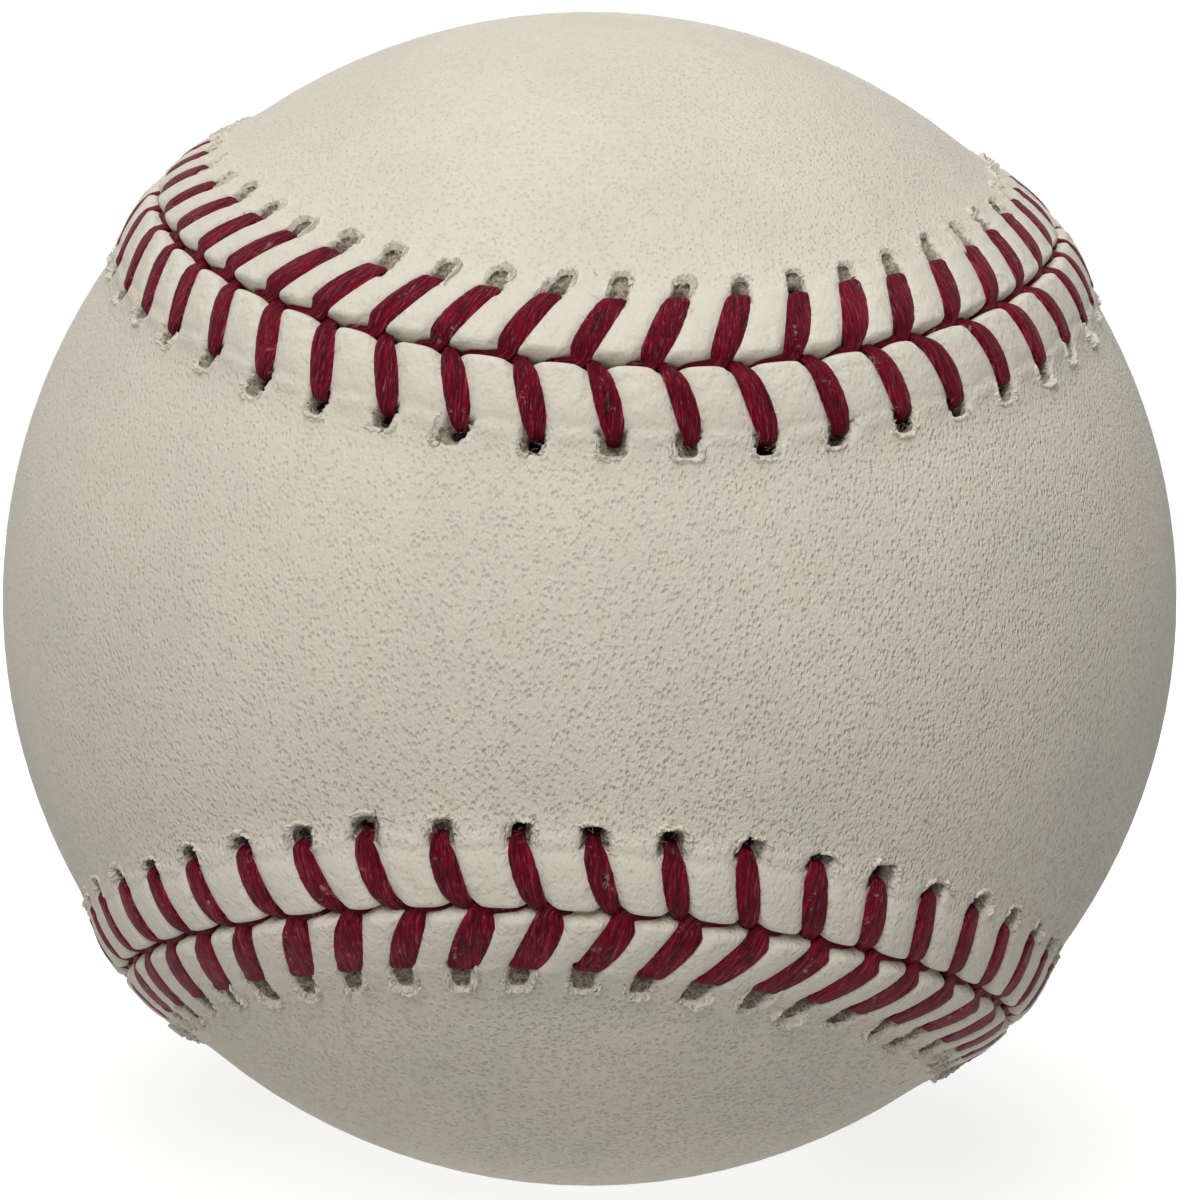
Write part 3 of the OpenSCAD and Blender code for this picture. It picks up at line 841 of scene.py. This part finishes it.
for panel_name, side in (("a", 1), ("b", -1)):
    flaps("torn_rims_" + panel_name, side, hide)
    leg = legs[side]
    i = np.repeat(number, FIBRES_PER_SLIT)
    u, v = slit_outline(side, i, rng.uniform(0, math.pi, len(i)))
    inward = rng.uniform(0.3, 1.0, len(i))
    hairs("torn_fibres_" + panel_name, side, hole_k[i] + (u * inward + 0.1 * (1 - inward)) / PITCH,
          leg["tip"][i] + v * inward, rng.uniform(0, 2 * math.pi, len(i)),
          rng.uniform(*FIBRE_LENGTHS, len(i)), rng.uniform(*FIBRE_LIFTS, len(i)),
          rng.uniform(*FIBRE_RADII, len(i)), torn_hair)
    i = np.repeat(number, FUZZ_PER_LEG)
    s = rng.uniform(0.3, 1.0, len(i)) * leg["tip"][i]
    which = rng.choice([-1.0, 1.0], len(i))
    edge_u = leg_offset(side, i, s) + which * 0.42 * leg["width"][i]
    hairs("thread_fuzz_" + panel_name, side, hole_k[i] + edge_u / PITCH, s,
          np.where(which > 0, 0.0, math.pi) + rng.normal(0, 0.8, len(i)),
          rng.uniform(*FUZZ_LENGTHS, len(i)), rng.uniform(*FUZZ_LIFTS, len(i)),
          rng.uniform(*FUZZ_RADII, len(i)), red_hair)

# Lint. Short red and grey fibres, rubbed off the thread and the hide, that cling to the leather
# near the seam and lie almost flat on it.

LINT = 46
LINT_FROM, LINT_TO = 0.6, 9.0
LINT_LENGTHS = (0.4, 1.0)
LINT_LIFT = 0.05
LINT_R = 0.017

k, side_of = rng.uniform(0, STITCHES, LINT), rng.choice([-1, 1], LINT)
s = rng.uniform(LINT_FROM, LINT_TO, LINT)
heading, length = rng.uniform(0, 2 * math.pi, LINT), rng.uniform(*LINT_LENGTHS, LINT)
for lint_name, material, slot, first in (("red", red_hair, "waxed_red_thread", 0),
                                         ("grey", torn_hair, "alum_tanned_hide", 1)):
    for side in SIDES:
        mine = (side_of == side) & (np.arange(LINT) % 2 == first)
        count = int(mine.sum())
        hairs("lint_" + lint_name + ("_a" if side > 0 else "_b"), side, k[mine], s[mine], heading[mine],
              length[mine], np.full(count, LINT_LIFT), np.full(count, LINT_R), material)

# Camera. It stands where the photograph was taken from: 4.5 ball radii away, a little above the
# middle of the ball, and turned so that the seams run slightly downhill to the right.

PHOTO_PX = 1200
BALL_MIDDLE_PX = (589.6, 598.8)
BALL_RADIUS_PX = 587.0
CAMERA_DISTANCE_SHARE = 4.5
CAMERA_TURN = Vector((0.0598, -0.0119, -0.0511))
SENSOR_MM = 36.0

upright = Matrix(((1, 0, 0), (0, 0, 1), (0, -1, 0)))
turned = Matrix.Rotation(CAMERA_TURN.length, 3, CAMERA_TURN.normalized())
camera_axes = (turned @ upright).transposed()
focal_px = BALL_RADIUS_PX * math.sqrt(CAMERA_DISTANCE_SHARE ** 2 - 1)
camera_data = bpy.data.cameras.new("camera")
camera_data.sensor_width = SENSOR_MM
camera_data.lens = focal_px / PHOTO_PX * SENSOR_MM
camera_data.shift_x = (PHOTO_PX / 2 - BALL_MIDDLE_PX[0]) / PHOTO_PX
camera_data.shift_y = (BALL_MIDDLE_PX[1] - PHOTO_PX / 2) / PHOTO_PX
camera_data.clip_start = 0.01
camera = bpy.data.objects.new("camera", camera_data)
camera.matrix_world = Matrix.Translation(
    camera_axes @ Vector((0, 0, CAMERA_DISTANCE_SHARE * BALL_R * MM))) @ camera_axes.to_4x4()
bpy.context.scene.collection.objects.link(camera)
bpy.context.scene.camera = camera

# Floor and light. A pale table top that glows a little, though it is no lamp, to light the ball from
# under it, and three large soft lamps: one like a window in front and to the left, one overhead,
# and a weak one that stands for the room behind. The floor and the sky show white to the camera,
# and the floor keeps the shadow.

FLOOR_W = 4.0
FLOOR_GREY = "#A2A2A0"
# A place and a size in metres, and a level, for each lamp
LAMPS = {
    "window": (Vector((-0.13, -0.62, 0.48)), 0.48, 0.60),
    "overhead": (Vector((-0.02, -0.14, 0.79)), 0.70, 0.43),
    "back_wall": (Vector((0.0, 0.86, 0.08)), 0.50, 0.34),
}
SKY_LEVEL = 0.03
WHITE = "#FFFFFF"
# The glow of the floor, which the ball sees as light from under it: a painted glow that stands for
# the table's bounce, more right under the ball, where a real table would mirror it a little
GLOW_FAR = 0.19
GLOW_UNDER = 0.50
GLOW_REACH = 0.050
# How white the floor is to the camera, so that the shadow shows near the ball
WHITE_NEAR, WHITE_FAR = 0.80, 1.0
WHITE_FROM, WHITE_TO = 0.05, 0.16


def shown(tree):
    """1 for rays by which the camera sees, straight, in gloss or through glass, and else 0."""
    rays = add_node(tree, "ShaderNodeLightPath")
    seen = rays.outputs["Is Camera Ray"]
    for way in ("Is Glossy Ray", "Is Transmission Ray"):
        seen = add_node(tree, "ShaderNodeMath", {0: seen, 1: rays.outputs[way]},
                        operation="MAXIMUM").outputs[0]
    return seen


floor_mesh = bpy.data.meshes.new("floor")
reach = FLOOR_W / 2
floor_z = -BALL_R * MM
floor_mesh.from_pydata([(-reach, -reach, floor_z), (reach, -reach, floor_z), (reach, reach, floor_z),
                        (-reach, reach, floor_z)], [], [(0, 1, 2, 3)])
floor = bpy.data.objects.new("floor", floor_mesh)
bpy.context.scene.collection.objects.link(floor)

card, tree, shader, place = new_material("card_matt", 1.0, Specular_IOR_Level=0.0)
shader.inputs["Base Color"].default_value = srgb(FLOOR_GREY)
away = add_node(tree, "ShaderNodeVectorMath", {0: place}, operation="LENGTH")
white_level = add_node(tree, "ShaderNodeMapRange", {"Value": away.outputs["Value"], "To Min": WHITE_NEAR,
                                                    "To Max": WHITE_FAR, "From Min": WHITE_FROM,
                                                    "From Max": WHITE_TO})
floor_glow_lighting = add_node(tree, "ShaderNodeMapRange", {"Value": away.outputs["Value"], "To Min": GLOW_UNDER,
                                                  "To Max": GLOW_FAR, "From Min": BALL_R * MM,
                                                  "From Max": GLOW_REACH})
# The floor glows white to the camera, and a little to the ball as painted light.
glow = add_node(tree, "ShaderNodeMapRange", {"Value": shown(tree), "To Min": floor_glow_lighting.outputs[0],
                                             "To Max": white_level.outputs[0]})
white = add_node(tree, "ShaderNodeEmission", {"Strength": glow.outputs[0]})
both = add_node(tree, "ShaderNodeAddShader", {0: shader.outputs[0], 1: white.outputs[0]})
tree.links.new(both.outputs[0], tree.nodes["Material Output"].inputs["Surface"])
floor_mesh.materials.append(card)

for name, (spot, size, level) in LAMPS.items():
    lamp_data = bpy.data.lights.new(name, "AREA")
    lamp_data.shape = "DISK"
    lamp_data.size = size
    lamp_data.energy = level * math.pi ** 2 * spot.length_squared
    lamp = bpy.data.objects.new(name, lamp_data)
    lamp.location = spot
    lamp.rotation_mode = "QUATERNION"
    lamp.rotation_quaternion = spot.to_track_quat("Z", "Y")
    bpy.context.scene.collection.objects.link(lamp)

sky = bpy.data.worlds.new("sky")
sky.use_nodes = True
tree = sky.node_tree
level = add_node(tree, "ShaderNodeMapRange", {"Value": shown(tree), "To Min": SKY_LEVEL, "To Max": 1.0})
tree.links.new(level.outputs[0], tree.nodes["Background"].inputs["Strength"])
tree.nodes["Background"].inputs["Color"].default_value = srgb(WHITE)
bpy.context.scene.world = sky
bpy.context.scene.view_settings.view_transform = "Standard"
